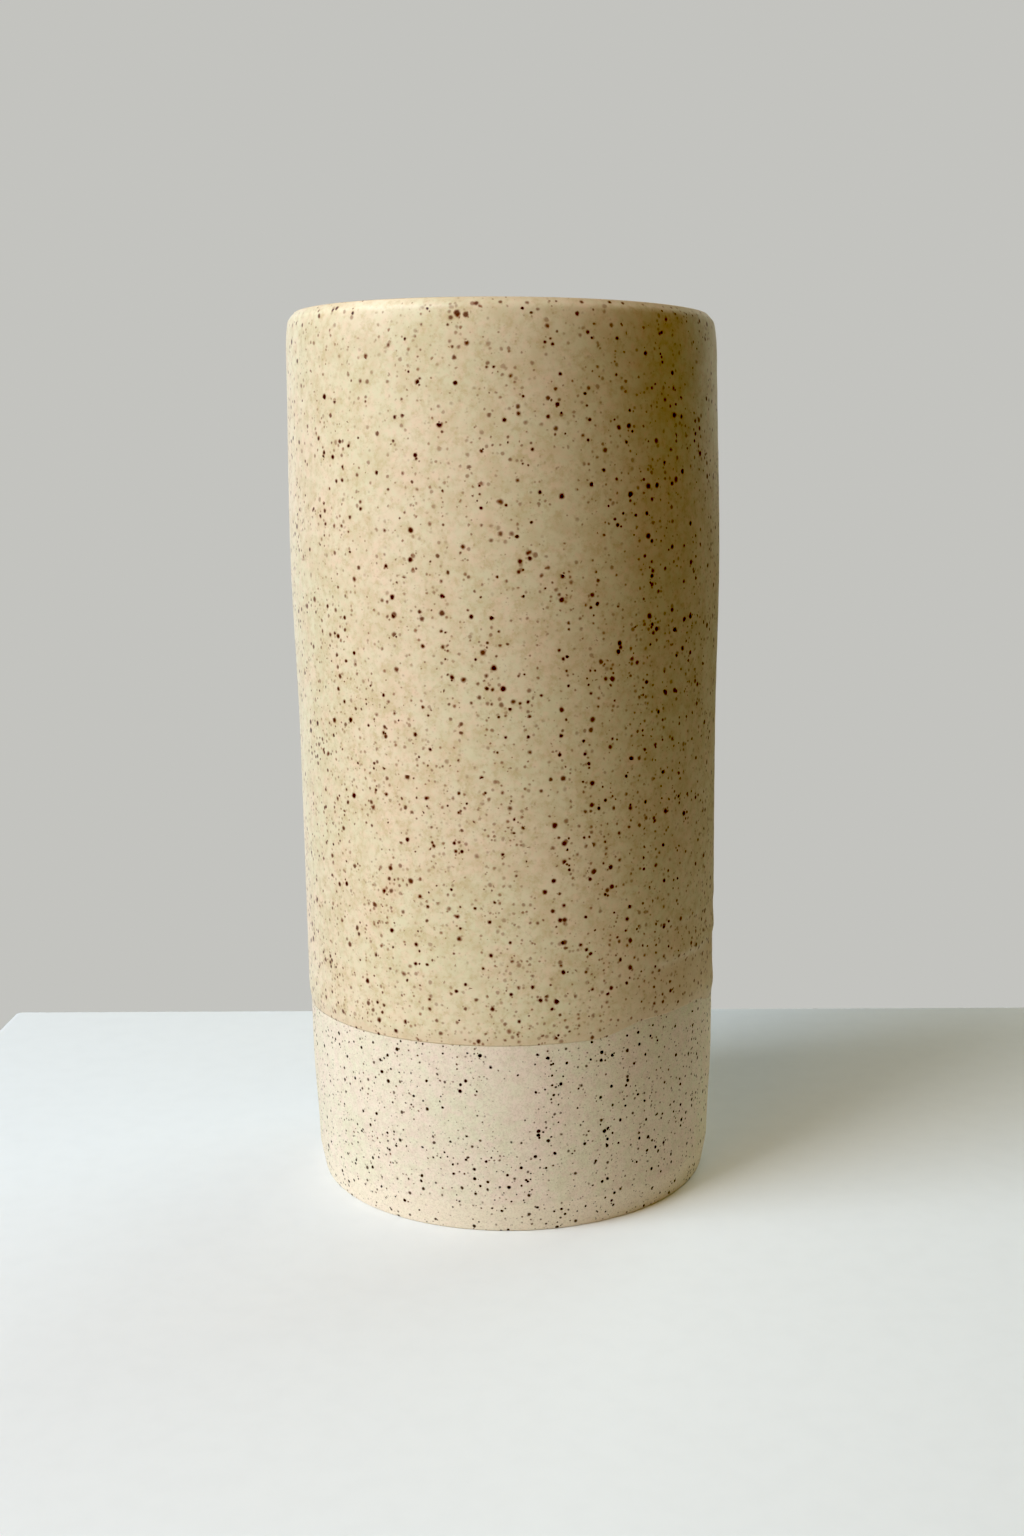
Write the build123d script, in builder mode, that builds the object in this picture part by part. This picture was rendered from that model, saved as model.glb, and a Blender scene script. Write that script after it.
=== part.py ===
from build123d import *
import os

# A wheel-thrown stoneware vase: a tall straight cylinder, a hand wide and two hands high.
# Millimetres. The foot stands on Z = 0 and +Z is the axis of the wheel.
#
# The clay is one thrown and trimmed piece: wall, lip, floor and foot ring come from one lump.
# Glaze covers it in two coats. The liner is poured inside and covers the floor and the inner
# wall. The outer coat is dipped upside down: it runs from a line above the foot up the outer
# wall, over the lip and a little way down inside, where it meets the liner edge to edge.

# Overall sizes
height = 205.0            # from the table to the top of the glazed lip
body_radius = 50.3        # clay at the shoulder, where the wall is widest

# The outer wall, bottom to top: how far it stands in from body_radius, and how high
base_inset = 1.7          # at the top of the foot's facet, where the trimming tool stopped
swell_inset = 0.85        # at the low swell above the foot
swell_height = 30.0
waist_inset = 0.7         # at the slight waist that the potter's fingers left
waist_height = 110.0
shoulder_height = 150.0   # no inset: this is the widest place
lip_inset = 0.8           # at the lip, where the wall closes in again

# Clay thickness
wall = 5.0                # the thrown wall, up to the shoulder
lip_thickness = 4.0       # the compressed lip, rounded over its whole thickness
floor_thickness = 7.0
floor_round = 10.0        # the sweep from the floor into the inner wall

# The trimmed foot
facet_height = 6.8        # the slightly steeper strip that the trimming tool left above the foot
facet_inset = 1.3
facet_round = 2.5
foot_recess = 2.0         # how far the underside is hollowed
foot_ring_width = 8.0     # the flat ring that stands on the table
foot_edge_round = 0.5

# Glaze
glaze_thickness = 0.5
glaze_line = 44.5         # the dipped coat ends here, and bare clay shows below
glaze_edge_round = 0.4    # on the dipped coat's lower edge, less than glaze_thickness
rim_lap = 9.0             # the dipped coat reaches this far down inside the lip

# Places that follow from the sizes above
base_radius = body_radius - base_inset
foot_radius = base_radius - facet_inset
foot_ring_inner = foot_radius - foot_ring_width
floor_top = foot_recess + floor_thickness
floor_middle = foot_recess + floor_thickness / 2
lip_round = lip_thickness / 2
lip_centre_radius = body_radius - lip_inset - lip_round
lip_centre_height = height - glaze_thickness - lip_round
lap_height = height - rim_lap


def wall_outline(skin):
    """Draw the vessel's faces from facet to floor centre, `skin` outside the clay."""
    outside = Spline(
        (base_radius + skin, facet_height),
        (body_radius - swell_inset + skin, swell_height),
        (body_radius - waist_inset + skin, waist_height),
        (body_radius + skin, shoulder_height),
        (lip_centre_radius + lip_round + skin, lip_centre_height),
        tangents=[(0, 1), (0, 1)],
    )
    lip = ThreePointArc(
        outside @ 1,
        (lip_centre_radius, lip_centre_height + lip_round + skin),
        (lip_centre_radius - lip_round - skin, lip_centre_height),
    )
    sweep_radius = body_radius - swell_inset - wall - skin
    inside = Spline(
        lip @ 1,
        (body_radius - wall - skin, shoulder_height),
        (body_radius - waist_inset - wall - skin, waist_height),
        (sweep_radius, swell_height),
        (sweep_radius, floor_top + floor_round),
        tangents=[(0, -1), (0, -1)],
    )
    sweep = RadiusArc(
        inside @ 1,
        (sweep_radius - floor_round + skin, floor_top + skin),
        floor_round - skin,
    )
    Line(sweep @ 1, (0, floor_top + skin))
    return outside @ 0


# The thrown clay
with BuildPart() as stoneware_body:
    with BuildSketch(Plane.XZ) as clay_section:
        with BuildLine():
            facet_top = wall_outline(0)
            Polyline(
                (0, floor_top),
                (0, foot_recess),
                (foot_ring_inner - foot_recess, foot_recess),
                (foot_ring_inner, 0),
                (foot_radius, 0),
                facet_top,
            )
        make_face()
        facet_corner = clay_section.vertices().sort_by_distance((base_radius, facet_height))[0]
        fillet(facet_corner, facet_round)
        ring_corners = clay_section.vertices().group_by(Axis.Y)[0]
        fillet(ring_corners, foot_edge_round)
    revolve(axis=Axis.Z)
stoneware_body.part.label = "stoneware_body"

# The whole glaze skin, which lies on the clay from the foot round to the floor's centre
with BuildSketch(Plane.XZ) as skin_section:
    with BuildLine():
        skin_bottom = wall_outline(glaze_thickness)
        Polyline((0, floor_top + glaze_thickness), (0, floor_middle), skin_bottom)
    make_face()
    add(clay_section.sketch_local, mode=Mode.SUBTRACT)

# The dipped coat: wall and lip, from the glaze line to the lap inside the lip
with BuildPart() as outer_glaze:
    with BuildSketch(Plane.XZ) as dipped_section:
        add(skin_section.sketch_local)
        Rectangle(lip_centre_radius, lap_height, align=Align.MIN, mode=Mode.SUBTRACT)
        Rectangle(2 * body_radius, glaze_line, align=Align.MIN, mode=Mode.SUBTRACT)
        glaze_edge = dipped_section.vertices().group_by(Axis.Y)[0].sort_by(Axis.X)[-1]
        fillet(glaze_edge, glaze_edge_round)
    revolve(axis=Axis.Z)
outer_glaze.part.label = "outer_glaze"

# The poured coat: inner wall and floor, up to the lap
with BuildPart() as liner_glaze:
    with BuildSketch(Plane.XZ) as poured_section:
        add(skin_section.sketch_local)
        Rectangle(lip_centre_radius, lap_height, align=Align.MIN, mode=Mode.INTERSECT)
    revolve(axis=Axis.Z)
liner_glaze.part.label = "liner_glaze"

os.makedirs("parts", exist_ok=True)
export_step(stoneware_body.part, "parts/stoneware_body.step")
export_step(outer_glaze.part, "parts/outer_glaze.step")
export_step(liner_glaze.part, "parts/liner_glaze.step")
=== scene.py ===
"""A wheel-thrown stoneware vase: bare speckled clay below, a dipped cream glaze above.

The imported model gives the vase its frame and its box. This script throws the pot again as three
fine surfaces (the clay, the dipped coat and the poured liner), gives them the small unevenness of
hand work, and dresses them in procedural clay and glaze. Everything is in metres, with the foot on
z = 0 and the axis of the wheel on +z.
"""

import logging
import math
from dataclasses import dataclass, field
from enum import Enum

import bpy
import numpy as np
from mathutils import Matrix, Vector

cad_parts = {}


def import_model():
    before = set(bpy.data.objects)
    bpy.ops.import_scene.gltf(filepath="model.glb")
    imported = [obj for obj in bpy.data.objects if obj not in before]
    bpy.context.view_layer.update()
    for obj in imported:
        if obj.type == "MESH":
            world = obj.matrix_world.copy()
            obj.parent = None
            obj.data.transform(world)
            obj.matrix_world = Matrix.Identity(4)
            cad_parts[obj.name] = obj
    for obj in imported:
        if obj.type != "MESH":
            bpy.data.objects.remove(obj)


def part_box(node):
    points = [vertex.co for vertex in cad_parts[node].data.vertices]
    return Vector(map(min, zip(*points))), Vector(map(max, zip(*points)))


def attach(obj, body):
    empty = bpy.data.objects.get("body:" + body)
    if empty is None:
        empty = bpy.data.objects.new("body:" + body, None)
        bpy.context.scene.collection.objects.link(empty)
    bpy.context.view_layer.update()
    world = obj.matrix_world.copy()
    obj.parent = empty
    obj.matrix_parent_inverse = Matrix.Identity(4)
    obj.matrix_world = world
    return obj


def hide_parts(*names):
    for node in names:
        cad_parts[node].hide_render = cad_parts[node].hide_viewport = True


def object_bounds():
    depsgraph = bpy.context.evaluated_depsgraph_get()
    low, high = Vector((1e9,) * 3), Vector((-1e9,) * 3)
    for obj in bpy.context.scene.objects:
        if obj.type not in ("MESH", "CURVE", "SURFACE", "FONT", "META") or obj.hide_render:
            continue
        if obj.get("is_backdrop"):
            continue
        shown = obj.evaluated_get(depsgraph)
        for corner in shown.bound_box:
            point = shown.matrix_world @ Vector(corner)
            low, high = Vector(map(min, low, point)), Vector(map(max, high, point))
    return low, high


MM = 0.001
TURN = 2.0 * math.pi
ROOT_BODY = "root"
COAT_ATTRIBUTE = "coat"

log = logging.getLogger("vase")


class Slot(Enum):
    """The record's material slots."""

    CLAY = "bare_stoneware"
    DIPPED = "cream_glaze"
    LINER = "liner_glaze"


# ---- Lines: curves and smooth randomness, all as whole arrays ----


def ease(x: np.ndarray, start: float, end: float) -> np.ndarray:
    """Rise smoothly from 0 at start to 1 at end, as 3t^2 - 2t^3; an end below start is a fall."""
    t = np.clip((x - start) / (end - start), 0.0, 1.0)
    return t * t * (3.0 - 2.0 * t)


def through(x: np.ndarray, knots: list[float], values: list[float]) -> np.ndarray:
    """Draw a smooth line through a few places: a cubic Hermite curve, level at both ends.

    Args:
        x: Where the line is wanted.
        knots: The places, rising.
        values: The line's value at each place.

    Returns:
        The line at each x.
    """
    k = np.asarray(knots, float)
    v = np.asarray(values, float)
    slope = np.zeros_like(v)
    slope[1:-1] = (v[2:] - v[:-2]) / (k[2:] - k[:-2])
    x = np.clip(x, k[0], k[-1])
    i = np.clip(np.searchsorted(k, x, side="right") - 1, 0, len(k) - 2)
    span = k[i + 1] - k[i]
    t = (x - k[i]) / span
    start = (1.0 + 2.0 * t) * (1.0 - t) ** 2 * v[i] + t * (1.0 - t) ** 2 * span * slope[i]
    end = t * t * (3.0 - 2.0 * t) * v[i + 1] + t * t * (t - 1.0) * span * slope[i + 1]
    return start + end


@dataclass(frozen=True)
class Ripple:
    """Smooth, seeded unevenness on a cylinder: a sum of cosines in angle and height.

    Each wave is cos(m * angle + k * height + phase), with whole numbers m so that it closes
    round the pot. Together they stay within -1 to 1.
    """

    seed: int
    lobes: int
    rise: float
    waves: int = 7

    def at(self, angle: np.ndarray, height: np.ndarray) -> np.ndarray:
        """Work out the unevenness.

        Args:
            angle: Angles round the axis, in radians.
            height: Heights, in metres.

        Returns:
            A value from -1 to 1 at each place.
        """
        draw = np.random.default_rng(self.seed)
        m = draw.integers(0, self.lobes + 1, self.waves)
        k = draw.uniform(-TURN, TURN, self.waves) / self.rise
        phase = draw.uniform(0.0, TURN, self.waves)
        share = draw.uniform(0.5, 1.0, self.waves)
        share /= share.sum()
        total = np.zeros(np.broadcast(angle, height).shape)
        for wave in range(self.waves):
            total += share[wave] * np.cos(m[wave] * angle + k[wave] * height + phase[wave])
        return total


# ---- The pot's own lines ----


@dataclass(frozen=True)
class PotLines:
    """The thrown and trimmed form: its sizes, and its lines as functions of height and angle.

    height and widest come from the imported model's box. The other sizes are those of the clay, of
    the hand's stray from true, and of the fingers' spiral on the wall. A side is an angle round
    the axis, and a share is a part of the hand's room.
    """

    height: float
    widest: float
    glaze: float = 0.5 * MM
    hand_room: float = 0.22 * MM
    base_inset: float = 1.7 * MM
    swell_inset: float = 0.85 * MM
    swell_height: float = 30.0 * MM
    waist_inset: float = 0.7 * MM
    waist_height: float = 110.0 * MM
    shoulder_height: float = 150.0 * MM
    lip_inset: float = 0.8 * MM
    wall: float = 5.0 * MM
    lip_thickness: float = 4.0 * MM
    floor_top: float = 9.0 * MM
    floor_round: float = 10.0 * MM
    facet_height: float = 6.8 * MM
    facet_inset: float = 1.3 * MM
    facet_round: float = 2.5 * MM
    foot_recess: float = 2.0 * MM
    foot_ring_width: float = 8.0 * MM
    foot_edge: float = 0.5 * MM
    glaze_line: float = 44.5 * MM
    rim_lap: float = 9.0 * MM
    rim_fall: float = 0.85 * MM
    soft_lip_start: float = 196.0 * MM
    soft_lip_bend: float = 12.0
    drift_share: float = 0.45
    drift_side: float = 0.35
    oval_share: float = 0.25
    oval_side: float = 1.1
    slow_share: float = 0.30
    stray_run: float = 12.0 * MM
    ring_pitch: float = 7.5 * MM
    ring_depth: float = 0.030 * MM
    ring_vary: float = 0.45
    ring_start: float = 8.0 * MM
    ring_full: float = 20.0 * MM
    ring_end_run: float = 10.0 * MM

    @property
    def body(self) -> float:
        """The clay's greatest radius, less the room for the hand's unevenness."""
        return self.widest - self.glaze - self.hand_room

    @property
    def lip_round(self) -> float:
        """The radius of the clay's rounded lip."""
        return self.lip_thickness / 2.0

    @property
    def lip_centre_height(self) -> float:
        """The height of the centre of the lip's rounding."""
        return self.height - self.glaze - self.lip_round

    @property
    def lip_centre_radius(self) -> float:
        """The radius of the centre of the lip's rounding."""
        return self.body - self.lip_inset - self.lip_round

    @property
    def lap_height(self) -> float:
        """The height inside the lip where the dipped coat meets the liner."""
        return self.height - self.rim_lap

    @property
    def sweep_centre(self) -> tuple[float, float]:
        """The radius and height of the centre of the sweep from the floor into the inner wall."""
        level = self.floor_top + self.floor_round
        return float(self.inner(np.array(level))) - self.floor_round, level

    def outer(self, height: np.ndarray) -> np.ndarray:
        """Radius of the clay's outer wall: smooth through base, swell, waist, shoulder and lip."""
        return through(
            height,
            [self.facet_height, self.swell_height, self.waist_height, self.shoulder_height,
             self.lip_centre_height],
            [self.body - self.base_inset, self.body - self.swell_inset,
             self.body - self.waist_inset, self.body, self.body - self.lip_inset],
        )

    def inner(self, height: np.ndarray) -> np.ndarray:
        """Radius of the clay's inner wall: the wall's thickness inside the outer line."""
        thickness = self.wall + (self.lip_thickness - self.wall) * ease(
            height, self.shoulder_height, self.lip_centre_height)
        return self.outer(height) - thickness

    def hand(self, angle: np.ndarray, height: np.ndarray) -> np.ndarray:
        """How far the thrown wall strays from true: it is a little oval and wanders off its axis.

        The stray is a sum of a drift to one side that changes with height, a two-lobed oval that
        grows towards the lip, and a slow ripple. It keeps within hand_room either way.

        Args:
            angle: Angles round the axis.
            height: Heights.

        Returns:
            The stray, in metres, outwards.
        """
        share = height / self.height
        lean = np.sin(math.pi * (1.0 - share))
        drift = self.drift_share * lean * np.cos(angle + self.drift_side)
        oval = self.oval_share * share * np.cos(2.0 * angle + self.oval_side)
        slow = self.slow_share * Ripple(seed=11, lobes=3, rise=90.0 * MM).at(angle, height)
        return self.hand_room * (drift + oval + slow) * ease(height, 0.0, self.stray_run)

    def settle(self, angle: np.ndarray, height: np.ndarray) -> np.ndarray:
        """Tilt the rim: it falls by rim_fall * (1 + cos angle), fading out at the shoulder."""
        share = ease(height, self.shoulder_height, self.lip_centre_height)
        return height - self.rim_fall * (1.0 + np.cos(angle)) * share

    def soften(self, radius: np.ndarray, height: np.ndarray) -> np.ndarray:
        """Lean the wall's last few millimetres in, as a sponge rounds a lip's outer edge.

        The lean is soft_lip_bend * (height - soft_lip_start)^2. It acts in full outside the lip's
        rounding, and fades to nothing at its crest.

        Args:
            radius: Radii before the lip was sponged.
            height: Their heights.

        Returns:
            The radii after it.
        """
        above = np.maximum(height - self.soft_lip_start, 0.0)
        outside = ease(radius, self.lip_centre_radius, self.lip_centre_radius + self.lip_round)
        return radius - self.soft_lip_bend * above ** 2 * outside

    def outside(self, angle: np.ndarray, height: np.ndarray,
                lift: np.ndarray | float) -> np.ndarray:
        """Radius of the outer wall as it was thrown, with lift added outwards."""
        return self.outer(height) + self.hand(angle, height) + self.rings(angle, height) + lift

    def inside(self, angle: np.ndarray, height: np.ndarray,
               lift: np.ndarray | float) -> np.ndarray:
        """Radius of the inner wall as it was thrown, with lift added outwards."""
        return self.inner(height) + self.hand(angle, height) + lift

    def rings(self, angle: np.ndarray, height: np.ndarray) -> np.ndarray:
        """The fingers' spiral on the outer wall: a shallow wave that climbs one pitch a turn.

        Args:
            angle: Angles round the axis.
            height: Heights.

        Returns:
            The relief, in metres, outwards.
        """
        vary = Ripple(seed=23, lobes=2, rise=45.0 * MM).at(angle, height)
        strength = 1.0 - self.ring_vary + self.ring_vary * vary
        wave = np.cos(TURN * height / self.ring_pitch + angle)
        ring_end = self.lip_centre_height - self.ring_end_run
        fade = ease(height, self.ring_start, self.ring_full)
        fade = fade * ease(height, self.lip_centre_height, ring_end)
        return self.ring_depth * strength * wave * fade


def arc(centre: tuple[float, float], radius: float, start: float, end: float,
        count: int) -> np.ndarray:
    """Draw a round stretch of a profile, evenly from start to end in degrees: 0 is out, 90 up."""
    turn = np.radians(np.linspace(start, end, count))
    return np.stack([centre[0] + radius * np.cos(turn), centre[1] + radius * np.sin(turn)], axis=1)


# ---- Meshes ----


@dataclass
class Band:
    """Some rows of a surface: radii, heights and the coat's relative thickness.

    Each has a row for each level, and one column or a column for each angle.
    """

    radius: np.ndarray
    height: np.ndarray
    coat: np.ndarray | float = 1.0

    def flipped(self) -> "Band":
        """The same rows in the opposite order."""
        coat = self.coat if isinstance(self.coat, float) else self.coat[::-1]
        return Band(self.radius[::-1], self.height[::-1], coat)


def angles_round(columns: int) -> np.ndarray:
    """Spread columns evenly round the axis, as one row of angles."""
    return np.linspace(0.0, TURN, columns, endpoint=False)[None, :]


@dataclass
class Surface:
    """A grid of places round the axis, row by row, which becomes one closed mesh.

    radius, angle, height and coat, the glaze's relative thickness, are (rows, columns). Rows go
    round the section so that faces point outwards. loop joins the last row to the first;
    otherwise both end rows close in a pole.
    """

    radius: np.ndarray
    angle: np.ndarray
    height: np.ndarray
    loop: bool
    coat: np.ndarray

    @classmethod
    def of(cls, lines: PotLines, bands: list[Band], columns: int, loop: bool) -> "Surface":
        """Join bands in order, sponge the lip's edge and let the rim settle.

        Args:
            lines: The pot's lines.
            bands: The bands, in the order in which their rows follow each other.
            columns: How many columns go round.
            loop: Whether the last row joins the first.

        Returns:
            The surface.
        """
        angle = angles_round(columns)
        grids = [np.broadcast_arrays(band.radius, band.height, band.coat, angle) for band in bands]
        radius, height, coat, angles = (np.vstack(part) for part in zip(*grids))
        return cls(lines.soften(radius, height), angles, lines.settle(angles, height), loop, coat)

    def faces(self) -> list[tuple[int, ...]]:
        """List the quads between rows, and the fans of triangles at two poles.

        Returns:
            Each face's vertex numbers.
        """
        rows, columns = self.radius.shape
        across = np.arange(columns)
        beside = (across + 1) % columns
        last = rows if self.loop else rows - 1
        row = np.arange(last)[:, None]
        above = (row + 1) % rows
        quads = np.stack([row * columns + across, row * columns + beside,
                          above * columns + beside, above * columns + across], axis=-1)
        if self.loop:
            return quads.reshape(-1, 4).tolist()
        start, end = rows * columns, rows * columns + 1
        first = np.stack([np.full(columns, start), beside, across], axis=1)
        top = (rows - 1) * columns
        final = np.stack([top + across, top + beside, np.full(columns, end)], axis=1)
        return quads.reshape(-1, 4).tolist() + first.tolist() + final.tolist()

    def vertices(self) -> np.ndarray:
        """Place every vertex: (r cos a, r sin a, z), then a pole on the axis for each end row.

        Returns:
            The vertices, as (n, 3).
        """
        grid = np.stack([self.radius * np.cos(self.angle), self.radius * np.sin(self.angle),
                         self.height], axis=-1).reshape(-1, 3)
        if self.loop:
            return grid
        poles = np.array([[0.0, 0.0, self.height[0].mean()], [0.0, 0.0, self.height[-1].mean()]])
        return np.vstack([grid, poles])

    def build(self, name: str) -> bpy.types.Object:
        """Make the mesh and its object, smooth shaded, with the coat as an attribute.

        Args:
            name: The piece's name.

        Returns:
            The new object, at the origin.
        """
        mesh = bpy.data.meshes.new(name)
        places = self.vertices()
        mesh.from_pydata(places.tolist(), [], self.faces())
        mesh.polygons.foreach_set("use_smooth", np.ones(len(mesh.polygons), bool))
        values = np.ones(len(places), np.float32)
        values[:self.coat.size] = self.coat.ravel()
        attribute = mesh.attributes.new(COAT_ATTRIBUTE, "FLOAT", "POINT")
        attribute.data.foreach_set("value", values)
        mesh.validate()
        mesh.update()
        piece = bpy.data.objects.new(name, mesh)
        bpy.context.scene.collection.objects.link(piece)
        return piece


# ---- Node board: a short way to write shader nodes ----

Socket = bpy.types.NodeSocket
Value = float | Socket
Colour = tuple[float, float, float]
Feeds = dict[str | int, Value | Colour]


class Board:
    """A material's node tree, with one short method for each kind of node that the pot needs."""

    def __init__(self, name: str) -> None:
        """Start an empty material.

        Args:
            name: The material's name.
        """
        self.material = bpy.data.materials.new(name)
        self.material.use_nodes = True
        self.tree = self.material.node_tree
        self.tree.nodes.clear()

    def feed(self, target: Socket, value: Value | Colour) -> None:
        """Link a socket to the target, or set the target's own value.

        Args:
            target: The input to feed.
            value: A socket, a number or a colour.
        """
        if isinstance(value, bpy.types.NodeSocket):
            self.tree.links.new(value, target)
        elif isinstance(value, tuple):
            target.default_value = (*value, 1.0)[:len(target.default_value)]
        else:
            target.default_value = value

    def node(self, kind: str, feeds: Feeds | None = None, **settings: str | bool) -> bpy.types.Node:
        """Add a node, set its options and feed its inputs.

        Args:
            kind: Blender's name for the node, without its prefix.
            feeds: What goes into each input, by the input's name or number.
            **settings: The node's options.

        Returns:
            The node.
        """
        added = self.tree.nodes.new("ShaderNode" + kind)
        for name, value in settings.items():
            setattr(added, name, value)
        for name, value in (feeds or {}).items():
            self.feed(added.inputs[name], value)
        return added

    def place(self) -> Socket:
        """Read the place on the piece, in metres, in the object's own frame."""
        return self.node("TexCoord").outputs["Object"]

    def attribute(self, name: str) -> Socket:
        """Read a number that the mesh carries at each vertex."""
        found = self.node("Attribute", attribute_type="GEOMETRY", attribute_name=name)
        return found.outputs["Fac"]

    def maths(self, operation: str, a: Value, b: Value) -> Socket:
        """Work out one step of arithmetic, by Blender's name for it."""
        return self.node("Math", {0: a, 1: b}, operation=operation).outputs[0]

    def vector(self, operation: str, a: Value | Colour, b: Value | Colour) -> Socket:
        """Work out one step of vector arithmetic; SCALE takes its factor in b."""
        second = "Scale" if operation == "SCALE" else 1
        return self.node("VectorMath", {0: a, second: b}, operation=operation).outputs["Vector"]

    def ramp(self, value: Value, start: Value, end: Value, low: Value = 0.0, high: Value = 1.0,
             kind: str = "SMOOTHSTEP") -> Socket:
        """Carry a value from the range start to end to the range low to high, clamped."""
        ends = {"Value": value, "From Min": start, "From Max": end, "To Min": low, "To Max": high}
        return self.node("MapRange", ends, interpolation_type=kind, clamp=True).outputs["Result"]

    def mix(self, share: Value, below: Value | Colour, above: Value | Colour) -> Socket:
        """Lay one colour over another, with that share of the upper one."""
        step = self.node("Mix", {0: share}, data_type="RGBA", clamp_factor=True)
        for target, value in zip([s for s in step.inputs if s.type == "RGBA"], (below, above)):
            self.feed(target, value)
        return next(s for s in step.outputs if s.type == "RGBA")

    def veil(self, cloud: Socket, below: Value | Colour, tint: Colour, start: float, full: float,
             share: float = 1.0) -> Socket:
        """Lay a tint over a colour as a cloud thickens from start to full, up to that share."""
        return self.mix(self.ramp(cloud, start, full, 0.0, share), below, tint)

    def split(self, colour: Socket) -> tuple[Socket, Socket, Socket]:
        """Take a colour's three parts, as three separate clouds."""
        return tuple(self.node("SeparateColor", {0: colour}).outputs[:3])

    def level(self, place: Socket) -> Socket:
        """Read how high a place is."""
        return self.node("SeparateXYZ", {0: place}).outputs["Z"]

    def noise(self, place: Value, size: float, detail: float = 2.0,
              roughness: float = 0.5) -> bpy.types.Node:
        """Add cloudy noise, with clouds of that size in metres; detail adds finer layers."""
        return self.node("TexNoise", {"Vector": place, "Scale": 1.0 / size, "Detail": detail,
                                      "Roughness": roughness})

    def cells(self, place: Value, size: float) -> tuple[Socket, Socket, Socket, Socket]:
        """Scatter points, one to a cell: how far off they are, and three random numbers each."""
        scatter = self.node("TexVoronoi", {"Vector": place, "Scale": 1.0 / size})
        return (scatter.outputs["Distance"], *self.split(scatter.outputs["Color"]))

    def bump(self, height: Value, distance: float, below: Socket | None = None) -> Socket:
        """Tilt the surface by a height from 0 to 1, where 1 is distance deep, over another tilt."""
        feeds = {"Strength": 1.0, "Distance": distance, "Height": height}
        return self.node("Bump", feeds | ({"Normal": below} if below else {})).outputs["Normal"]

    def finish(self, **sockets: Value | Colour) -> bpy.types.Material:
        """Close the material with one shader.

        Args:
            **sockets: The shader's inputs, with spaces in their names written as underscores.

        Returns:
            The material.
        """
        feeds = {name.replace("_", " "): value for name, value in sockets.items()}
        shader = self.node("BsdfPrincipled", feeds)
        self.node("OutputMaterial", {"Surface": shader.outputs["BSDF"]})
        return self.material


# ---- Iron specks ----


@dataclass(frozen=True)
class Specks:
    """One size of iron grain in the clay: where the grains are and how big they come out.

    Grains are spheres scattered through the clay, one to a cell. The wall cuts them at random
    depths, so the discs that show have mixed sizes, as real grains do. share is how many cells
    have a grain, and cluster is how far that share moves between sparse and crowded clay. skew
    above 1 makes small grains the more common. spill is how far a soft edge reaches outwards.
    """

    spacing: float
    smallest: float
    largest: float
    share: float
    shift: float
    cluster: float = 0.5
    sparse: float = 0.3
    crowded: float = 0.7
    skew: float = 1.6
    spill: float = 0.6
    shear: float = 0.7

    def mask(self, board: Board, place: Socket, crowd: Socket, grow: float,
             soft: float) -> tuple[Socket, Socket]:
        """Show the grains.

        Args:
            board: The material.
            place: Where to read, already a little distorted.
            crowd: From 0 to 1, where grains crowd together.
            grow: How much wider than the grain its stain is.
            soft: How soft its edge is, as a share of its radius.

        Returns:
            1 on a grain and 0 off it, and a random number for each grain.
        """
        moved = board.vector("ADD", place, (self.shift, self.shift * self.shear, -self.shift))
        distance, size, present, tone = board.cells(moved, self.spacing)
        low = self.smallest * grow / self.spacing
        high = self.largest * grow / self.spacing
        skewed = board.maths("POWER", size, self.skew)
        radius = board.ramp(skewed, 0.0, 1.0, low, high, kind="LINEAR")
        inside = board.maths("MULTIPLY", radius, 1.0 - soft)
        outside = board.maths("MULTIPLY", radius, 1.0 + soft * self.spill)
        disc = board.ramp(distance, inside, outside, 1.0, 0.0)
        few, many = self.share * (1.0 - self.cluster), self.share * (1.0 + self.cluster)
        limit = board.ramp(crowd, self.sparse, self.crowded, few, many, kind="LINEAR")
        return board.maths("MULTIPLY", disc, board.maths("LESS_THAN", present, limit)), tone


LARGE_GRAINS = Specks(spacing=2.1 * MM, smallest=0.24 * MM, largest=0.58 * MM,
                      share=0.40, shift=0.013)
MIDDLE_GRAINS = Specks(spacing=1.5 * MM, smallest=0.17 * MM, largest=0.40 * MM,
                       share=0.46, shift=0.031)
SMALL_GRAINS = Specks(spacing=1.0 * MM, smallest=0.10 * MM, largest=0.25 * MM,
                      share=0.42, shift=0.047)
DUST_GRAINS = Specks(spacing=0.7 * MM, smallest=0.08 * MM, largest=0.21 * MM,
                     share=0.45, shift=0.071)


@dataclass(frozen=True)
class Stain:
    """How one size of grain shows at the surface.

    grow is how much wider than the grain its stain is, and soft is how soft the stain's edge is,
    as a share of its radius. Each grain's strength lies between low and high, and below 0 it
    doesn't show.
    """

    grains: Specks
    grow: float
    soft: float
    low: float
    high: float
    ink: Colour

    def lay(self, board: Board, colour: Socket, place: Socket, crowd: Socket) -> Socket:
        """Lay the stain over a colour.

        Args:
            board: The material.
            colour: The colour below.
            place: Where to read, already a little distorted.
            crowd: From 0 to 1, where grains crowd together.

        Returns:
            The speckled colour.
        """
        disc, tone = self.grains.mask(board, place, crowd, grow=self.grow, soft=self.soft)
        strength = board.ramp(tone, 0.0, 1.0, self.low, self.high)
        return board.mix(board.maths("MULTIPLY", disc, strength), colour, self.ink)


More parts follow.
